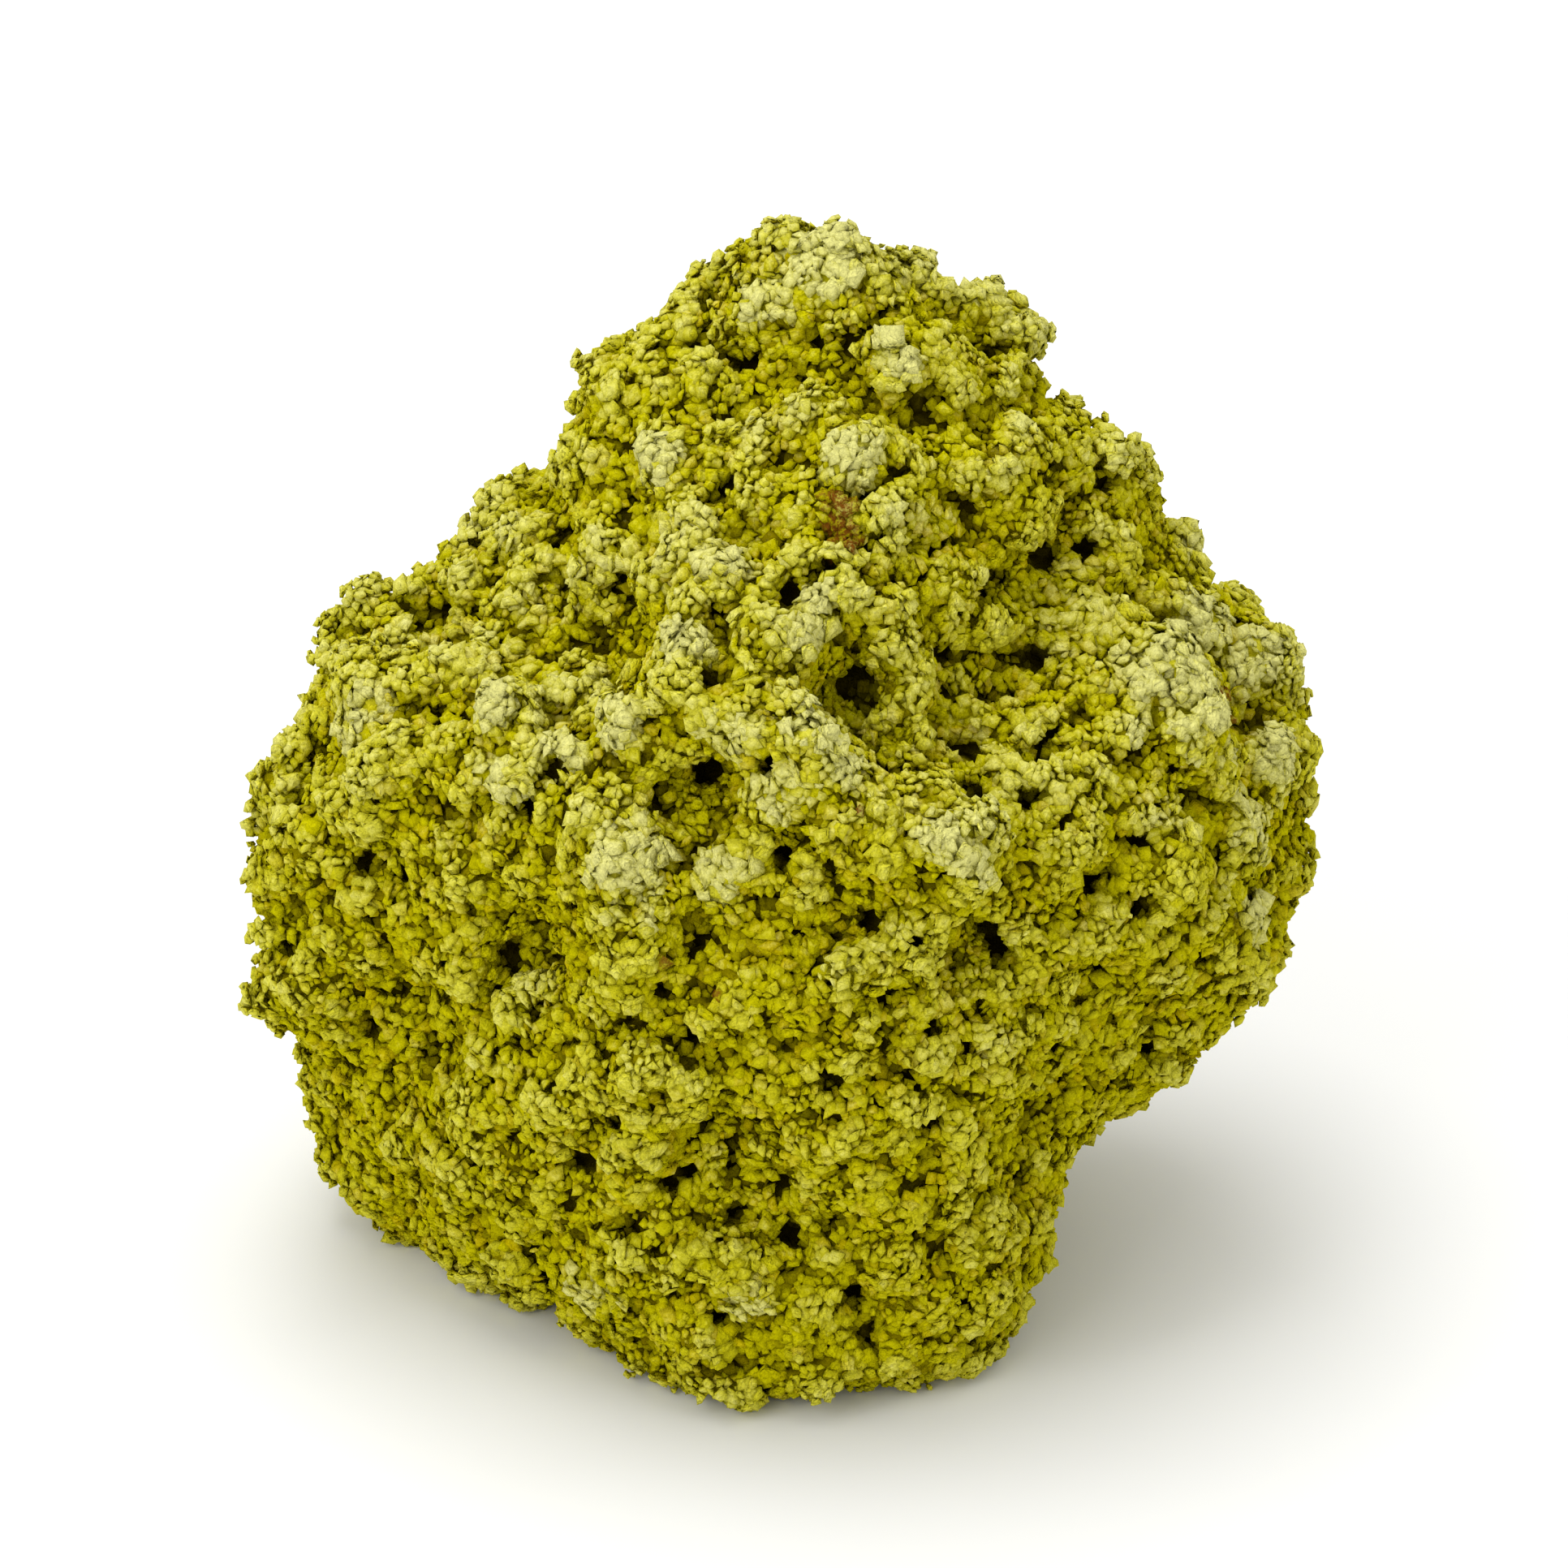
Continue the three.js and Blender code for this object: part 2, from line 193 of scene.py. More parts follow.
class NONTRONITE_PG_sizes(bpy.types.PropertyGroup):
    """How large the nodules, lumps and holes of the crust are."""
    spacing: length("Nodule spacing", "How far apart neighbouring nodules sit", 0.48)
    nodule: length("Nodule radius", "Mean radius of a nodule", 0.365)
    nodule_spread: length("Radius spread", "How much the nodules differ in radius", 0.075)
    crumple: length("Crumpling", "How far the nodules are bent and shifted out of place", 0.5)
    lump: length("Lump width", "Width of the lumps that the nodules gather into", 3.0)
    warp: length("Warp", "How far the lumps are pulled out of round", 1.3)
    lump_relief: length("Lump relief", "How strongly the lumps stand apart", 2.6)
    crack: length("Crack depth", "How deep the cracks between the lumps run", 3.0)
    swell: length("Swell", "How far the crust stands out of the plain form", 0.35)
    foot_swell: length("Foot swell", "How much further the crust stands out round the foot", 0.5)
    hole_gap: length("Hole spacing", "How far apart the dark holes lie", 3.9)
    hole: length("Hole radius", "Radius of an ordinary hole, at the middles of the nodules round it", 0.72)
    hole_depth: length("Hole depth", "How far the holes reach in", 3.4)
    pit_gap: length("Pit spacing", "How far apart the small pits lie", 1.9)
    pit: length("Pit radius", "Radius of a small pit, at the middles of the nodules round it", 0.42)
    pit_depth: length("Pit depth", "How far the small pits reach in", 1.5)
    core_cell: length("Core fineness", "Cell size that the core under the nodules is meshed with", 0.28)
    core_triangles: IntProperty(name="Core triangles", default=72_000, min=1_000,
                                description="Triangles in the core under the nodules")
    least_open: IntProperty(name="Least open sides", default=4, min=1, max=26,
                            description="Open cells beside a ball that make it a nodule of its own")
    seed: IntProperty(name="Seed", description="Start of the random draws", default=5)


class NONTRONITE_PG_colours(bpy.types.PropertyGroup):
    """The colours of the mineral, from the painted shade of its hollows and holes to its dusty crests, with
    painted highlight on its tips.
    """
    # The crease colour is the olive of the clay in the creases, darkened as painted shade.
    crease_olive_and_shade: FloatVectorProperty(name="Hollow", description="Clay deep in the creases", subtype="COLOR",
                                default=(0.27, 0.220, 0.0005), min=0.0, max=1.0)
    # Painted shade: the depth colour is near black, put at the bottom of the holes where little light
    # reaches.
    depth: FloatVectorProperty(name="Depth", description="Clay at the bottom of the holes", subtype="COLOR",
                               default=(0.025, 0.018, 0.0005), min=0.0, max=1.0)
    body: FloatVectorProperty(name="Body", description="Fresh clay of the nodules", subtype="COLOR",
                              default=(0.545, 0.500, 0.002), min=0.0, max=1.0)
    ochre: FloatVectorProperty(name="Ochre", description="Warmer clay of some nodules", subtype="COLOR",
                               default=(0.56, 0.440, 0.002), min=0.0, max=1.0)
    # The crest colour is partly drier clay on the tips and partly painted highlight.
    crest_clay_and_highlight: FloatVectorProperty(name="Crest", description="Drier clay on the tips", subtype="COLOR",
                               default=(0.665, 0.625, 0.045), min=0.0, max=1.0)
    dust: FloatVectorProperty(name="Dust", description="Pale weathered crust", subtype="COLOR",
                              default=(0.71, 0.68, 0.22), min=0.0, max=1.0)
    stain: FloatVectorProperty(name="Stain", description="Iron stain", subtype="COLOR",
                               default=(0.17, 0.06, 0.005), min=0.0, max=1.0)


class NONTRONITE_PG_stage(bpy.types.PropertyGroup):
    """The floor and the lights."""
    floor_radius: length("Floor radius", "Radius of the round floor", 2500.0)
    floor_colour: FloatVectorProperty(name="Floor colour", description="Colour of the pale floor",
                                      subtype="COLOR", default=(0.86, 0.86, 0.85), min=0.0, max=1.0)
    sky: FloatProperty(name="Sky", description="Brightness of the even light all round", default=0.84,
                       min=0.0)
    top_power: FloatProperty(name="Top light", description="Power of the light overhead", default=2.75,
                             min=0.0, unit="POWER")
    side_power: FloatProperty(name="Side light", description="Power of the light at the front left",
                              default=2.0, min=0.0, unit="POWER")


# ---------------------------------------------------------------- small helpers

def smoothstep(low, high, value):
    """0 below low, 1 above high, and a smooth rise between them."""
    share = np.clip((value - low) / (high - low), 0.0, 1.0)
    return share * share * (3.0 - 2.0 * share)


def node(tree, kind, values=None, **settings):
    """Adds a node, with its settings and the values of its unlinked inputs."""
    added = tree.nodes.new(kind)
    for name, setting in settings.items():
        setattr(added, name, setting)
    for name, value in (values or {}).items():
        added.inputs[name].default_value = value
    return added


def geometry_tree(name):
    """An empty geometry node group with its geometry input and output; returns it with both end nodes."""
    tree = bpy.data.node_groups.new(name, "GeometryNodeTree")
    tree.interface.new_socket("Geometry", in_out="INPUT", socket_type="NodeSocketGeometry")
    tree.interface.new_socket("Geometry", in_out="OUTPUT", socket_type="NodeSocketGeometry")
    return tree, tree.nodes.new("NodeGroupInput"), tree.nodes.new("NodeGroupOutput")


def evaluated(item):
    """A new mesh that holds the object as its modifiers leave it."""
    graph = bpy.context.evaluated_depsgraph_get()
    return bpy.data.meshes.new_from_object(item.evaluated_get(graph))


def add_object(name, data):
    """Links a new object for the data into the scene."""
    item = bpy.data.objects.new(name, data)
    bpy.context.scene.collection.objects.link(item)
    return item


# ---------------------------------------------------------------- the form and its features

def smooth_form():
    """The CAD solid merged, softened and subdivided, in millimetres: the form that the nodules grow on."""
    skin = bmesh.new()
    skin.from_mesh(frame["nodes"][NODE].data)
    bmesh.ops.remove_doubles(skin, verts=skin.verts, dist=0.001 * MM)
    bmesh.ops.scale(skin, verts=skin.verts, vec=(1.0 / MM,) * 3)
    bmesh.ops.smooth_vert(skin, verts=skin.verts, factor=0.5, use_axis_x=True, use_axis_y=True,
                          use_axis_z=True)
    mesh = bpy.data.meshes.new("form")
    skin.to_mesh(mesh)
    skin.free()
    form = add_object("form", mesh)
    fine = form.modifiers.new("fine", "SUBSURF")
    fine.levels = fine.render_levels = 2
    smooth = evaluated(form)
    bpy.data.objects.remove(form)
    return smooth


def seen_points(tree, features):
    """Where the lines of sight to the features meet the form, and the way each line runs."""
    eye = VIEW_TARGET + VIEW_DISTANCE * TOWARD
    met = []
    for across, rise, width in features:
        aim = VIEW_TARGET + across * ACROSS + (rise - TARGET_RISE) * UPWARD
        sight = (aim - eye).normalized()
        place, normal, _, _ = tree.ray_cast(eye, sight)
        if place is not None:
            met.append((place, normal, sight, width))
    return met


def ripple(points, wavelength, seed):
    """Smooth noise of the given wavelength, about -1 to 1."""
    shift = np.array(SEED_STEP) * seed
    return np.array([noise.noise(place) for place in (points / wavelength + shift).tolist()])


def raggedness(points, edges):
    """The waves of noise that make an edge ragged, added up."""
    return sum(strength * ripple(points, wavelength, seed) for strength, wavelength, seed in edges)


def patch_weight(points, patches):
    """How strongly each point lies in one of the ragged patches, from 0 to 1."""
    weight = np.zeros(len(points))
    for place, _, _, width in patches:
        distance = np.linalg.norm(points - np.array(place), axis=1) / (0.5 * width)
        weight = np.maximum(weight, min(1.6, 0.75 * width) - distance)
    return np.where(weight > 0.0, smoothstep(*PATCH_FADE, weight + raggedness(points, PATCH_EDGES)), 0.0)


def shaft_field(points, mouths, depth):
    """Millimetres inside the nearest of the named holes, negative outside them all."""
    inside = np.full(len(points), -9.0)
    for place, normal, sight, width in mouths:
        axis = (sight * 1.2 - normal).normalized()
        offset = points - np.array(place)
        along = offset @ np.array(axis)
        from_axis = np.linalg.norm(offset - along[:, None] * np.array(axis), axis=1)
        radius = 0.5 * width + HOLE_MARGIN
        reach = (along > -HOLE_LEAD) & (along < depth + 0.6 * width)
        inside = np.where(reach, np.maximum(inside, radius - from_axis), inside)
    return np.where(inside > -1.2, inside + raggedness(points, HOLE_EDGES), inside)


# ---------------------------------------------------------------- the lattice of nodules

def cell_distances(points, width, seed):
    """Distance to the nearest of the random centres that lie about a width apart, and how much
    further off the second one is, in widths."""
    shift = np.array(SEED_STEP) * seed
    found = np.array([noise.voronoi(place)[0][:2] for place in (points / width + shift).tolist()])
    return found[:, 0], found[:, 1] - found[:, 0]


def relaxed_tile(side, random):
    """Points, one to a cell, pushed apart until they are evenly spaced, in a block that repeats."""
    corner = np.stack(np.meshgrid(*[np.arange(side)] * 3, indexing="ij"), -1).astype(float)
    points = corner + 0.5 + random.uniform(-0.38, 0.38, corner.shape)
    points[:, :, 1::2, :2] += 0.5
    for _ in range(3):
        push = np.zeros_like(points)
        for step in itertools.product((-1, 0, 1), repeat=3):
            if step == (0, 0, 0):
                continue
            gap = points - np.roll(points, step, (0, 1, 2))
            gap -= side * np.round(gap / side)
            distance = np.linalg.norm(gap, axis=-1, keepdims=True) + 1e-6
            push += gap / distance * np.clip(1.02 - distance, 0.0, None) * 0.5
        points += push.clip(-0.3, 0.3)
    return points - corner


def spread(mask, reach=1):
    """The mask grown through the faces of its cells."""
    for _ in range(reach):
        wider = mask.copy()
        for axis in range(3):
            wider |= np.roll(mask, 1, axis) | np.roll(mask, -1, axis)
        mask = wider
    return mask


def flood(start, region):
    """The cells of the region that can be reached from the start."""
    reached = start
    while True:
        wider = (spread(reached) & region) | start
        if (wider == reached).all():
            return reached
        reached = wider


def ridges(points, wavelength, seed, width):
    """1 along the winding lines where the noise passes through nought, 0 away from them."""
    return 1.0 - smoothstep(0.0, width, np.abs(ripple(points, wavelength, seed)))


def crust_relief(points, sizes, dust, exposed):
    """How far the surface is moved in at each point by the lumps and the cracks, in millimetres.

    What is taken off each kind of lump is near its mean, so the form keeps its size.
    """
    lump = sizes.lump / MM
    warp = np.stack([ripple(points, 0.9 * lump, seed) for seed in WARP_SEEDS], -1)
    bent = points + 2.0 * sizes.warp / MM * warp
    strength = sizes.lump_relief / MM * (0.45 + 0.55 * exposed)
    crack = sizes.crack / MM * (0.5 + 0.5 * exposed)
    cells = [cell_distances(bent, share * lump, seed) for share, seed in LUMPS]
    (wide, _), (middling, _), (fine, _) = cells
    folds, creases = (ridges(bent, share * lump, seed, reach) for share, seed, reach in FOLDS)
    uneven = strength * (1.0 + 1.2 * warp[:, 0])
    relief = strength * (0.5 * wide ** 2 - 0.17) + uneven * (0.7 * middling ** 2 - 0.20)
    relief += strength * (0.6 * (fine ** 2 - 0.28) + 0.7 * (folds - 0.35) + 0.45 * (creases - 0.35))

    wide_share = smoothstep(-0.35, 0.25, warp[:, 1])
    fine_share = smoothstep(-0.2, 0.3, warp[:, 2])
    depths = (0.8 * crack * wide_share, 0.6 * crack * (1.0 - 0.6 * wide_share), 0.3 * crack * fine_share)
    for depth, (_, edge), fade in zip(depths, cells, CRACKS):
        relief += depth * (1.0 - smoothstep(*fade, edge))
    return (1.0 - 0.8 * dust) * relief + 0.08 * dust - sizes.swell / MM


def box_mean(field, reach):
    """The field averaged over the cells within the reach along each axis."""
    for axis in range(3):
        total = field.copy()
        for step in range(1, reach + 1):
            total += np.roll(field, step, axis) + np.roll(field, -step, axis)
        field = total / (2 * reach + 1)
    return field


def open_sides(solid):
    """How many of the 27 cells round each cell, itself among them, are open."""
    return 27 * box_mean((~solid).astype(float), 1)


def lattice(skin, cell, random):
    """The places of the lattice, one to a cell, and which cells lie near the skin of the form."""
    low = skin.min(0) - LATTICE_MARGIN
    counts = np.ceil((skin.max(0) + LATTICE_MARGIN - low) / cell).astype(int)
    near = np.zeros(counts, bool)
    near[tuple(((skin - low) / cell).astype(int).T)] = True
    offsets = relaxed_tile(LATTICE_SIDE, random)
    offsets = np.tile(offsets, (*(counts // LATTICE_SIDE + 1), 1))[:counts[0], :counts[1], :counts[2]]
    corner = np.stack(np.meshgrid(*[np.arange(k) for k in counts], indexing="ij"), -1)
    return low + (corner + offsets) * cell, spread(near, SHELL_REACH)


def nearest_skin(tree, points):
    """How far outside the form each point lies, the nearest place on it, and how far that faces up."""
    depth = np.empty(len(points))
    feet = np.empty_like(points)
    facing = np.empty(len(points))
    for row, place in enumerate(points.tolist()):
        foot, normal, _, distance = tree.find_nearest(place)
        outside = (Vector(place) - foot).dot(normal) > 0.0
        depth[row] = distance if outside else -distance
        feet[row] = foot
        facing[row] = normal.z
    return depth, feet, facing


def strewn_holes(feet, dust, gap, radius, seed, widths):
    """Millimetres inside the nearest of the holes strewn over the form; dust fills them."""
    least, play, wavelength, width_seed = widths
    radii = radius * (least + play * ripple(feet, wavelength, width_seed)) - 0.5 * dust
    return radii - cell_distances(feet, gap, seed)[0] * gap


def crust_field(tree, points, depth, feet, dust, exposed, sizes):
    """Millimetres outside the crust at each point, negative inside it."""
    field = depth + crust_relief(points, sizes, dust, exposed)
    holes = strewn_holes(feet, dust, sizes.hole_gap / MM, sizes.hole / MM, HOLE_SEED, HOLE_WIDTHS)
    pits = strewn_holes(feet, dust, sizes.pit_gap / MM, sizes.pit / MM, PIT_SEED, PIT_WIDTHS)
    for inside, reach in ((holes, sizes.hole_depth / MM), (pits, sizes.pit_depth / MM)):
        field = np.where(depth > -reach, np.maximum(field, inside), field)
    named_holes = shaft_field(points, seen_points(tree, DARK_HOLES), sizes.hole_depth / MM)
    field = np.maximum(field, named_holes)
    foot = smoothstep(*FOOT_RISE, points[:, 2]) * smoothstep(*FOOT_SIDE, points[:, 0])
    field -= sizes.foot_swell / MM * foot
    field[points[:, 2] < 0.9 * sizes.nodule / MM] = 1.0
    return field


def solid_cells(field, shell):
    """The cells inside the crust, without its thin spots and loose bits."""
    solid = np.zeros(shell.shape, bool)
    solid[shell] = field < 0.0
    outside = np.zeros(shell.shape, bool)
    outside[0, 0, 0] = True
    inner = ~shell & ~flood(outside, ~shell)
    solid |= inner
    for most_open in LOOSE_ROUNDS:
        solid &= open_sides(solid) < most_open
    solid &= box_mean(solid.astype(float), 3) > THIN_SHARE
    solid &= open_sides(solid) < LOOSE_ROUNDS[0]
    return flood(inner, solid)


def wedge_numbers(places, nodules):
    """Which wedge each ball belongs to, -1 for the balls that are fused into the core."""
    turn = np.arctan2(places[:, 1], places[:, 0]) - WEDGE_START
    turn = np.mod(turn, 2.0 * math.pi)
    edges = np.quantile(turn[nodules], np.linspace(0.0, 1.0, len(WEDGES) + 1)[1:-1])
    return np.where(nodules, np.searchsorted(edges, turn), -1)


def grow_seeds(sizes):
    """The places, radii and marks of all the balls that fill the crust, in columns."""
    random = np.random.default_rng(sizes.seed)
    form = smooth_form()
    tree = BVHTree.FromPolygons([v.co for v in form.vertices], [p.vertices for p in form.polygons])
    skin = np.empty(len(form.vertices) * 3, np.float32)
    form.vertices.foreach_get("co", skin)
    bpy.data.meshes.remove(form)
    cell = sizes.spacing / MM
    nodule = sizes.nodule / MM
    places, shell = lattice(skin.reshape(-1, 3), cell, random)
    counts = shell.shape

    points = places[shell]
    depth, feet, facing = nearest_skin(tree, points)
    exposed = smoothstep(*FACING_UP, facing)
    drift = smoothstep(*DRIFT_FADE, ripple(feet, *DRIFTS[0]) + 0.4 * ripple(feet, *DRIFTS[1]))
    dust = patch_weight(feet, seen_points(tree, PALE_PATCHES))
    dust = np.maximum(dust, DRIFT_DUST * drift * exposed)
    field = crust_field(tree, points, depth, feet, dust, exposed, sizes)
    sunk = np.zeros(counts)
    sunk[shell] = -field
    solid = solid_cells(field, shell)

    # From outside in: the face, two layers under it, the rim of the core, and its thinned out middle.
    face = solid & (open_sides(solid) > 0.5)
    second = spread(face) & solid & ~face
    third = spread(second) & solid & ~face & ~second
    core = solid & ~face & ~second & ~third
    coarse = np.zeros(counts, bool)
    coarse[::2, ::2, ::2] = True
    deep = core & coarse & ~spread(~core, 2)
    rim = core & spread(~core, 3)
    kept = face | second | third | rim | deep

    filled = solid.astype(float)
    outward = np.stack([-slope for slope in np.gradient(box_mean(filled, 2))], -1)
    outward /= np.linalg.norm(outward, axis=-1, keepdims=True) + 1e-9
    marks = {
        "lift": 1.0 - 2.0 * box_mean(filled, 3),
        "open": 1.0 - 2.0 * box_mean(filled, 7),
        "up": np.zeros(counts),
        "dust": np.zeros(counts),
        "stain": np.zeros(counts),
    }
    marks["up"][shell] = exposed
    marks["dust"][shell] = dust
    marks["stain"][shell] = patch_weight(feet, seen_points(tree, IRON_STAINS))

    nodules = face & (open_sides(solid) > sizes.least_open - 0.5) & (marks["lift"] > DEEPEST_LIFT)
    play, wavelength, seed = NODULE_PLAY
    radii = random.normal(nodule, sizes.nodule_spread / MM, counts).clip(0.55 * nodule, 1.7 * nodule)
    radii = np.where(nodules, radii * (1.0 + DUSTY_NODULE * marks["dust"]), 1.05 * nodule)
    radii[nodules] *= 1.0 + play * ripple(places[nodules], wavelength, seed)
    radii = np.where(second, (SECOND_BALL + DUSTY_SECOND_BALL * marks["dust"]) * nodule, radii)
    radii = np.where(third | rim, INNER_BALL * cell, radii)
    radii = np.where(deep, DEEP_BALL * cell, radii)
    evened = (0.35 + 0.65 * marks["dust"]) * (sunk - 0.5 * cell).clip(-0.4 * cell, 0.6 * cell)
    places[nodules] += (outward * evened[..., None])[nodules]

    columns = {name: mark[kept] for name, mark in marks.items()}
    columns["place"] = places[kept]
    columns["outward"] = outward[kept]
    columns["radius"] = np.minimum(radii[kept], places[kept][:, 2] - 0.03)
    columns["tint"] = random.uniform(0.0, 1.0, int(kept.sum()))
    columns["wedge"] = wedge_numbers(columns["place"], nodules[kept])
    return columns


def point_cloud(name, columns, kept):
    """A mesh of loose points with a value of each kind on every point, linked into the scene."""
    mesh = bpy.data.meshes.new(name)
    mesh.vertices.add(int(kept.sum()))
    mesh.vertices.foreach_set("co", columns["place"][kept].astype(np.float32).ravel())
    for mark in FLOAT_MARKS:
        column = mesh.attributes.new(mark, "FLOAT", "POINT")
        column.data.foreach_set("value", columns[mark][kept].astype(np.float32))
    column = mesh.attributes.new("outward", "FLOAT_VECTOR", "POINT")
    column.data.foreach_set("vector", columns["outward"][kept].astype(np.float32).ravel())
    return add_object(name, mesh)


class NONTRONITE_OT_seeds(bpy.types.Operator):
    """Lay out the balls of the crust as clouds of points, each with its radius and its marks"""
    bl_idname = "nontronite.seeds"
    bl_label = "Lay out the nodules"

    def execute(self, context):
        columns = grow_seeds(context.scene.nontronite_sizes)
        point_cloud(SEED_NAME, columns, columns["wedge"] < 0)
        for number, name in enumerate(WEDGES):
            point_cloud(SEED_NAME + "_" + name, columns, columns["wedge"] == number)
        return {"FINISHED"}


# ---------------------------------------------------------------- the core under the nodules

def named(tree, name, data_type="FLOAT"):
    """The value that the points carry under the given name."""
    return node(tree, "GeometryNodeInputNamedAttribute", {"Name": name}, data_type=data_type).outputs[0]


def store(tree, geometry, name, value):
    """Stores a value on every point under the given name; returns the geometry that carries it."""
    kept = node(tree, "GeometryNodeStoreNamedAttribute", {"Name": name}, data_type="FLOAT", domain="POINT")
    tree.links.new(geometry, kept.inputs["Geometry"])
    if isinstance(value, float):
        kept.inputs["Value"].default_value = value
    else:
        tree.links.new(value, kept.inputs["Value"])
    return kept.outputs["Geometry"]


def core_tree(voxel):
    """Balls at the points, fused to one skin, with the sealed bubbles inside removed."""
    tree, start, end = geometry_tree("fuse_core")
    link = tree.links.new
    radius = named(tree, "radius")
    balls = node(tree, "GeometryNodeMeshToPoints")
    volume = node(tree, "GeometryNodePointsToVolume", {"Voxel Size": voxel}, resolution_mode="VOXEL_SIZE")
    skin = node(tree, "GeometryNodeVolumeToMesh", {"Threshold": 0.1}, resolution_mode="GRID")
    link(start.outputs[0], balls.inputs["Mesh"])
    link(radius, balls.inputs["Radius"])
    link(balls.outputs["Points"], volume.inputs["Points"])
    link(radius, volume.inputs["Radius"])
    link(volume.outputs["Volume"], skin.inputs["Volume"])

    island = node(tree, "GeometryNodeInputMeshIsland")
    total = node(tree, "GeometryNodeAccumulateField", {0: 1}, data_type="INT", domain="POINT")
    largest = node(tree, "GeometryNodeAttributeStatistic", data_type="FLOAT", domain="POINT")
    smaller = node(tree, "FunctionNodeCompare", data_type="FLOAT", operation="LESS_THAN")
    cleared = node(tree, "GeometryNodeDeleteGeometry", domain="POINT")
    link(island.outputs["Island Index"], total.inputs["Group ID"])
    link(skin.outputs["Mesh"], largest.inputs["Geometry"])
    link(total.outputs["Total"], largest.inputs["Attribute"])
    link(total.outputs["Total"], smaller.inputs[0])
    link(largest.outputs["Max"], smaller.inputs[1])
    link(skin.outputs["Mesh"], cleared.inputs["Geometry"])
    link(smaller.outputs["Result"], cleared.inputs["Selection"])
    link(cleared.outputs[0], end.inputs[0])
    return tree


def marks_tree(seeds):
    """Gives every point of the core the marks of the nearest ball."""
    tree, start, end = geometry_tree("mark_core")
    link = tree.links.new
    info = node(tree, "GeometryNodeObjectInfo", {"Object": seeds}, transform_space="ORIGINAL")
    nearest = node(tree, "GeometryNodeSampleNearest", domain="POINT")
    link(info.outputs["Geometry"], nearest.inputs["Geometry"])
    geometry = store(tree, start.outputs[0], "tip", CORE_TIP)
    for name in FLOAT_MARKS[1:]:
        sample = node(tree, "GeometryNodeSampleIndex", data_type="FLOAT", domain="POINT")
        link(info.outputs["Geometry"], sample.inputs["Geometry"])
        link(named(tree, name), sample.inputs["Value"])
        link(nearest.outputs["Index"], sample.inputs["Index"])
        geometry = store(tree, geometry, name, sample.outputs["Value"])
    smooth = node(tree, "GeometryNodeSetShadeSmooth")
    link(geometry, smooth.inputs["Geometry"])
    link(smooth.outputs[0], end.inputs[0])
    return tree


def finished_piece(maker, name):
    """The maker's final mesh, in metres, as an object of the given name; the maker is removed."""
    mesh = evaluated(maker)
    source = maker.data
    bpy.data.objects.remove(maker)
    bpy.data.meshes.remove(source)
    places = np.empty(3 * len(mesh.vertices), np.float32)
    mesh.vertices.foreach_get("co", places)
    places[2::3] = places[2::3].clip(0.01)
    mesh.vertices.foreach_set("co", MM * places)
    mesh.update()
    mesh.name = name
    piece = add_object(name, mesh)
    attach(piece, BODY)
    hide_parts(NODE)
    return piece


class NONTRONITE_OT_core(bpy.types.Operator):
    """Fuse the balls into the core that fills the creases between the nodules"""
    bl_idname = "nontronite.core"
    bl_label = "Fuse the core"

    def execute(self, context):
        sizes = context.scene.nontronite_sizes
        seeds = bpy.data.objects.get(SEED_NAME)
        if seeds is None:
            raise RuntimeError("lay out the nodules first")
        maker = add_object("core_maker", seeds.data.copy())
        grow = maker.modifiers.new("grow", "NODES")
        grow.node_group = core_tree(sizes.core_cell / MM)
        raw = evaluated(maker)
        maker.modifiers.clear()
        points = maker.data
        maker.data = raw
        bpy.data.meshes.remove(points)
        thin = maker.modifiers.new("thin", "DECIMATE")
        thin.ratio = min(1.0, sizes.core_triangles / (2 * len(raw.polygons)))
        thin.use_collapse_triangulate = True
        maker.modifiers.new("mark", "NODES").node_group = marks_tree(seeds)
        finished_piece(maker, CORE_NAME)
        bpy.data.objects.remove(seeds)
        return {"FINISHED"}


# ---------------------------------------------------------------- the nodules

def ball_shape():
    """A round body of fourteen triangles, finest round the pole that will face outward."""
    ball = bmesh.new()
    for corners, radius, height in ((4, 0.88, 0.47), (3, 0.90, -0.43)):
        bmesh.ops.create_circle(ball, segments=corners, radius=radius,
                                matrix=Matrix.Translation((0.0, 0.0, height)))
    for height in (1.0, -1.0):
        bmesh.ops.create_vert(ball, co=(0.0, 0.0, height))
    bmesh.ops.convex_hull(ball, input=ball.verts[:])
    bmesh.ops.recalc_face_normals(ball, faces=ball.faces[:])
    mesh = bpy.data.meshes.new("ball")
    ball.to_mesh(mesh)
    ball.free()
    return add_object("ball", mesh)


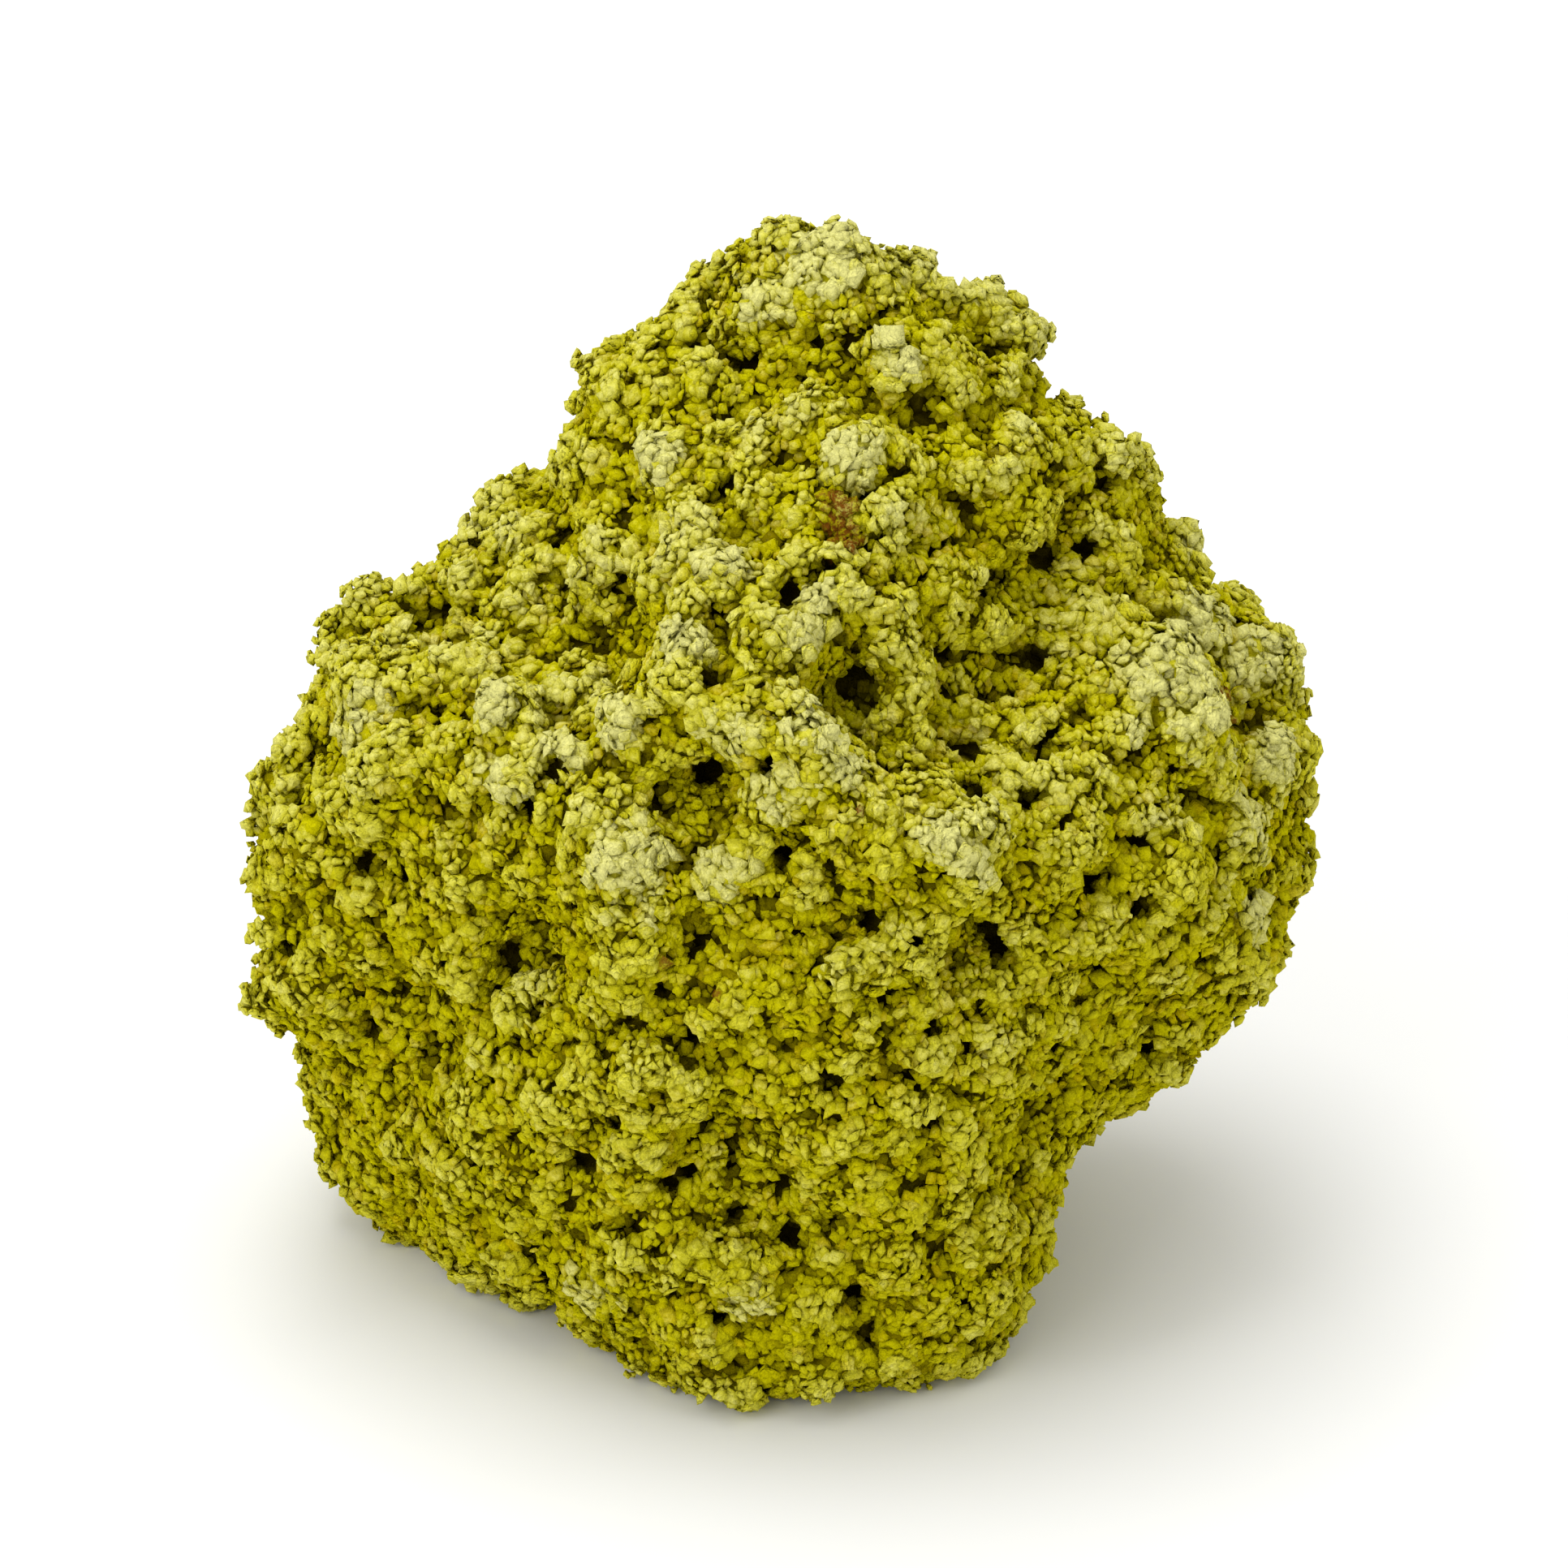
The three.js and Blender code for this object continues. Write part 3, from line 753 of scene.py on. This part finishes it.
def nodules_tree(shape, crumple):
    """The shape on every point, turned and stretched at random, then bent out of round."""
    tree, start, end = geometry_tree("grow_nodules")
    link = tree.links.new
    ball = node(tree, "GeometryNodeObjectInfo", {"Object": shape}, transform_space="ORIGINAL")
    tilt = node(tree, "FunctionNodeRandomValue",
                {"Min": (-TILT, -TILT, 0.0), "Max": (TILT, TILT, 2.0 * math.pi)},
                data_type="FLOAT_VECTOR")
    stretch = node(tree, "FunctionNodeRandomValue", {"Min": LEAST_STRETCH, "Max": MOST_STRETCH},
                   data_type="FLOAT_VECTOR")
    facing = node(tree, "FunctionNodeAlignRotationToVector", axis="Z")
    rotation = node(tree, "FunctionNodeRotateRotation", rotation_space="LOCAL")
    turned = node(tree, "FunctionNodeEulerToRotation")
    sized = node(tree, "ShaderNodeVectorMath", operation="SCALE")
    placed = node(tree, "GeometryNodeInstanceOnPoints")
    joined = node(tree, "GeometryNodeRealizeInstances")
    link(named(tree, "outward", "FLOAT_VECTOR"), facing.inputs["Vector"])
    link(tilt.outputs["Value"], turned.inputs[0])
    link(facing.outputs[0], rotation.inputs[0])
    link(turned.outputs[0], rotation.inputs[1])
    flatness = node(tree, "ShaderNodeVectorMath", {1: (0.0, 0.0, -DUST_FLATNESS), 2: (1.0, 1.0, 1.0)},
                    operation="MULTIPLY_ADD")
    flattened = node(tree, "ShaderNodeVectorMath", operation="MULTIPLY")
    link(named(tree, "dust"), flatness.inputs[0])
    link(stretch.outputs["Value"], flattened.inputs[0])
    link(flatness.outputs[0], flattened.inputs[1])
    link(flattened.outputs[0], sized.inputs[0])
    link(named(tree, "radius"), sized.inputs["Scale"])
    link(start.outputs[0], placed.inputs["Points"])
    link(ball.outputs["Geometry"], placed.inputs["Instance"])
    link(rotation.outputs[0], placed.inputs["Rotation"])
    link(sized.outputs[0], placed.inputs["Scale"])
    link(placed.outputs[0], joined.inputs[0])

    normal = node(tree, "GeometryNodeInputNormal")
    tip = node(tree, "ShaderNodeVectorMath", operation="DOT_PRODUCT")
    link(normal.outputs[0], tip.inputs[0])
    link(named(tree, "outward", "FLOAT_VECTOR"), tip.inputs[1])
    marked = store(tree, joined.outputs[0], "tip", tip.outputs["Value"])

    bend = node(tree, "ShaderNodeTexNoise", {"Scale": 0.9, "Detail": 2.0, "Roughness": 0.6})
    centred = node(tree, "ShaderNodeVectorMath", {1: (0.5,) * 3}, operation="SUBTRACT")
    offset = node(tree, "ShaderNodeVectorMath", {"Scale": 2.0 * crumple}, operation="SCALE")
    bent = node(tree, "GeometryNodeSetPosition")
    smooth = node(tree, "GeometryNodeSetShadeSmooth")
    link(bend.outputs["Color"], centred.inputs[0])
    link(centred.outputs[0], offset.inputs[0])
    link(marked, bent.inputs["Geometry"])
    link(offset.outputs[0], bent.inputs["Offset"])
    link(bent.outputs[0], smooth.inputs["Geometry"])
    link(smooth.outputs[0], end.inputs[0])
    return tree


class NONTRONITE_OT_nodules(bpy.types.Operator):
    """Grow the nodules that stand out of the core, one piece to each wedge"""
    bl_idname = "nontronite.nodules"
    bl_label = "Grow the nodules"

    def execute(self, context):
        crumple = context.scene.nontronite_sizes.crumple / MM
        shape = ball_shape()
        for name in WEDGES:
            seeds = bpy.data.objects.get(SEED_NAME + "_" + name)
            if seeds is None:
                raise RuntimeError("lay out the nodules first")
            seeds.modifiers.new("grow", "NODES").node_group = nodules_tree(shape, crumple)
            finished_piece(seeds, "nodules_" + name)
        bpy.data.objects.remove(shape)
        return {"FINISHED"}


# ---------------------------------------------------------------- the finish

def attribute(tree, name):
    """The value that the crust carries under the given name."""
    return node(tree, "ShaderNodeAttribute", attribute_name=name).outputs["Fac"]


def ranged(tree, value, name):
    """The value as a smooth mask that rises from 0 to 1 over the range of the given name."""
    low, high = RANGES[name]
    mask = node(tree, "ShaderNodeMapRange", {"From Min": low, "From Max": high},
                interpolation_type="SMOOTHSTEP")
    tree.links.new(value, mask.inputs["Value"])
    return mask.outputs["Result"]


def combined(tree, operation, *items):
    """Two or three values or numbers put together by a math node."""
    maths = node(tree, "ShaderNodeMath", operation=operation)
    for socket, item in zip(maths.inputs, items):
        if isinstance(item, (int, float)):
            socket.default_value = item
        else:
            tree.links.new(item, socket)
    return maths.outputs[0]


def blended(tree, share, first, second):
    """The first colour going over to the second by the share; either may be a colour or a socket."""
    mix = node(tree, "ShaderNodeMix", data_type="RGBA")
    tree.links.new(share, mix.inputs["Factor"])
    for socket, item in ((mix.inputs[6], first), (mix.inputs[7], second)):
        if isinstance(item, bpy.types.NodeSocket):
            tree.links.new(item, socket)
        else:
            socket.default_value = (*item, 1.0)
    return mix.outputs[2]


def weighed(tree, first, terms):
    """The first value and, times its weight, each of the others."""
    for value, weight in terms:
        first = combined(tree, "ADD", first, combined(tree, "MULTIPLY", value, weight))
    return first


def crust_material(colours):
    """Matte clay: olive with painted shade in the creases and near-black painted shade in the holes,
    yellow-green on the nodules, paler tips of drier clay and painted highlight, pale and gritty where
    weathered.
    """
    material = bpy.data.materials.new("nontronite_crust")
    material.use_nodes = True
    tree = material.node_tree
    link = tree.links.new
    shader = tree.nodes["Principled BSDF"]
    shader.inputs["Roughness"].default_value = 0.92
    shader.inputs["Specular IOR Level"].default_value = 0.0
    place = node(tree, "ShaderNodeTexCoord").outputs["Object"]
    mottling = node(tree, "ShaderNodeTexNoise", {"Scale": 420.0, "Detail": 3.0, "Roughness": 0.6})
    gritting = node(tree, "ShaderNodeTexNoise", {"Scale": 3200.0, "Detail": 3.0, "Roughness": 0.65})
    flaking = node(tree, "ShaderNodeTexVoronoi", {"Scale": 4200.0}, feature="F1")
    for texture in (mottling, gritting, flaking):
        link(place, texture.inputs["Vector"])
    mottle = mottling.outputs["Fac"]
    grit = gritting.outputs["Fac"]
    flakes = flaking.outputs["Distance"]

    tip = attribute(tree, "tip")
    dust = attribute(tree, "dust")
    tint = attribute(tree, "tint")
    stain = attribute(tree, "stain")
    lift = weighed(tree, attribute(tree, "lift"), ((dust, 0.45),))
    shown = weighed(tree, tip, ((dust, 0.9),))
    height = weighed(tree, lift, ((attribute(tree, "open"), 0.8), (mottle, 0.7), (tint, 0.15)))

    # Painted shade: the crease colour goes over to near black deep in the holes, where little is open round
    # a point.
    creases = blended(tree, ranged(tree, lift, "crease"), colours.depth, colours.crease_olive_and_shade)
    ochre = ranged(tree, combined(tree, "ADD", tint, mottle), "ochre")
    clay = blended(tree, ochre, colours.body, colours.ochre)
    # Painted shade: the clay colour gives way to the crease colour on the sides of the nodules that face
    # away from outward, on the core between them, and in the low places.
    share_out_of_painted_shade = combined(tree, "MULTIPLY", ranged(tree, shown, "unshaded_by_facing"), ranged(tree, lift, "raised"))
    clay_with_painted_shade = blended(tree, share_out_of_painted_shade, creases, clay)
    # Paler crest colour on the raised places and the tips of the nodules: partly drier clay, partly painted
    # highlight.
    crest_and_highlight_share = combined(tree, "MULTIPLY", ranged(tree, height, "dry height"), ranged(tree, shown, "dry tip"))
    with_crest_and_highlight = blended(tree, crest_and_highlight_share, clay_with_painted_shade, colours.crest_clay_and_highlight)
    # The pale crust lies on the named patches and the drifts; it is also laid on the nodule tips as painted
    # highlight, and more where the crust faces up.
    shares = ((dust, 0.7), (tip, 0.9), (grit, 1.2), (attribute(tree, "up"), 0.3), (tint, 0.3))
    dusty = weighed(tree, combined(tree, "MULTIPLY", height, 0.6), shares)
    dusted = blended(tree, ranged(tree, dusty, "dusty"), with_crest_and_highlight, colours.dust)
    rusty = ranged(tree, weighed(tree, stain, ((grit, 2.4),)), "stained")
    coloured = blended(tree, combined(tree, "MULTIPLY", rusty, stain), dusted, colours.stain)
    speckle = node(tree, "ShaderNodeVectorMath", operation="SCALE")
    link(coloured, speckle.inputs[0])
    link(combined(tree, "MULTIPLY_ADD", grit, 0.9, 0.55), speckle.inputs["Scale"])
    link(speckle.outputs[0], shader.inputs["Base Color"])

    # The facets of the nodules are eased by half towards the way each nodule faces, then made gritty.
    eased = node(tree, "ShaderNodeVectorMath", {1: (1.0,) * 3}, operation="MULTIPLY_ADD")
    unit = node(tree, "ShaderNodeVectorMath", operation="NORMALIZE")
    bump = node(tree, "ShaderNodeBump", {"Strength": 1.0, "Distance": 0.28 * MM})
    outward = node(tree, "ShaderNodeAttribute", attribute_name="outward")
    link(outward.outputs["Vector"], eased.inputs[0])
    link(node(tree, "ShaderNodeNewGeometry").outputs["Normal"], eased.inputs[2])
    link(eased.outputs[0], unit.inputs[0])
    link(unit.outputs[0], bump.inputs["Normal"])
    link(weighed(tree, grit, ((flakes, 0.5),)), bump.inputs["Height"])
    link(bump.outputs["Normal"], shader.inputs["Normal"])
    return material


class NONTRONITE_OT_finish(bpy.types.Operator):
    """Give every piece of the crust its finish"""
    bl_idname = "nontronite.finish"
    bl_label = "Finish the crust"

    def execute(self, context):
        material = crust_material(context.scene.nontronite_colours)
        for name in PIECES:
            bpy.data.objects[name].data.materials.clear()
            bpy.data.objects[name].data.materials.append(material)
        return {"FINISHED"}


# ---------------------------------------------------------------- the stage

def floor_piece(stage):
    """A round pale floor under the specimen."""
    disc = bmesh.new()
    bmesh.ops.create_circle(disc, cap_ends=True, segments=96, radius=stage.floor_radius)
    mesh = bpy.data.meshes.new("floor")
    disc.to_mesh(mesh)
    disc.free()
    material = bpy.data.materials.new("floor_paper")
    material.use_nodes = True
    shader = material.node_tree.nodes["Principled BSDF"]
    shader.inputs["Base Color"].default_value = (*stage.floor_colour, 1.0)
    shader.inputs["Roughness"].default_value = 0.95
    shader.inputs["Specular IOR Level"].default_value = 0.1
    mesh.materials.append(material)
    return add_object("floor", mesh)


def soft_light(name, place, power):
    """A square area light that looks at the middle of the specimen."""
    light = bpy.data.lights.new(name, "AREA")
    light.size = LIGHT_SIZE
    light.energy = power
    item = add_object(name, light)
    item.location = place
    item.rotation_euler = (VIEW_TARGET * MM - Vector(place)).to_track_quat("-Z", "Y").to_euler()
    return item


class NONTRONITE_OT_stage(bpy.types.Operator):
    """Set the floor, the lights and the camera"""
    bl_idname = "nontronite.stage"
    bl_label = "Set the stage"

    def execute(self, context):
        stage = context.scene.nontronite_stage
        floor_piece(stage)
        world = bpy.data.worlds.new("studio")
        world.use_nodes = True
        world.node_tree.nodes["Background"].inputs["Color"].default_value = (1.0, 1.0, 1.0, 1.0)
        world.node_tree.nodes["Background"].inputs["Strength"].default_value = stage.sky
        context.scene.world = world
        soft_light("top_light", TOP_LIGHT_PLACE, stage.top_power)
        soft_light("side_light", SIDE_LIGHT_PLACE, stage.side_power)

        camera = bpy.data.cameras.new("camera")
        camera.sensor_width = 36.0
        camera.lens = camera.sensor_width * VIEW_DISTANCE / VIEW_WIDTH
        camera.clip_start = 0.01
        camera.clip_end = 20.0
        item = add_object("camera", camera)
        item.location = (VIEW_TARGET + VIEW_DISTANCE * TOWARD) * MM
        item.rotation_euler = (-TOWARD).to_track_quat("-Z", "Y").to_euler()
        context.scene.camera = item
        context.scene.view_settings.view_transform = "Standard"
        return {"FINISHED"}


# ---------------------------------------------------------------- the add-on

class NONTRONITE_PT_panel(bpy.types.Panel):
    """The steps that make the specimen, with their sizes and colours"""
    bl_idname = "NONTRONITE_PT_panel"
    bl_label = "Nontronite specimen"
    bl_space_type = "VIEW_3D"
    bl_region_type = "UI"
    bl_category = "Nontronite"

    def draw(self, context):
        for step in STEPS:
            self.layout.operator(step.bl_idname)
        for group in SETTINGS:
            box = self.layout.box()
            values = getattr(context.scene, group)
            for name in values.bl_rna.properties.keys():
                if name not in ("rna_type", "name"):
                    box.prop(values, name)


SETTINGS = {
    "nontronite_sizes": NONTRONITE_PG_sizes,
    "nontronite_colours": NONTRONITE_PG_colours,
    "nontronite_stage": NONTRONITE_PG_stage,
}
STEPS = (NONTRONITE_OT_seeds, NONTRONITE_OT_core, NONTRONITE_OT_nodules, NONTRONITE_OT_finish,
         NONTRONITE_OT_stage)
CLASSES = (*SETTINGS.values(), *STEPS, NONTRONITE_PT_panel)


def register():
    for item in CLASSES:
        bpy.utils.register_class(item)
    for name, group in SETTINGS.items():
        setattr(bpy.types.Scene, name, PointerProperty(type=group))


def unregister():
    for name in SETTINGS:
        delattr(bpy.types.Scene, name)
    for item in reversed(CLASSES):
        bpy.utils.unregister_class(item)


def main():
    register()
    bpy.ops.nontronite.seeds()
    bpy.ops.nontronite.core()
    bpy.ops.nontronite.nodules()
    bpy.ops.nontronite.finish()
    bpy.ops.nontronite.stage()


if __name__ == "__main__":
    main()
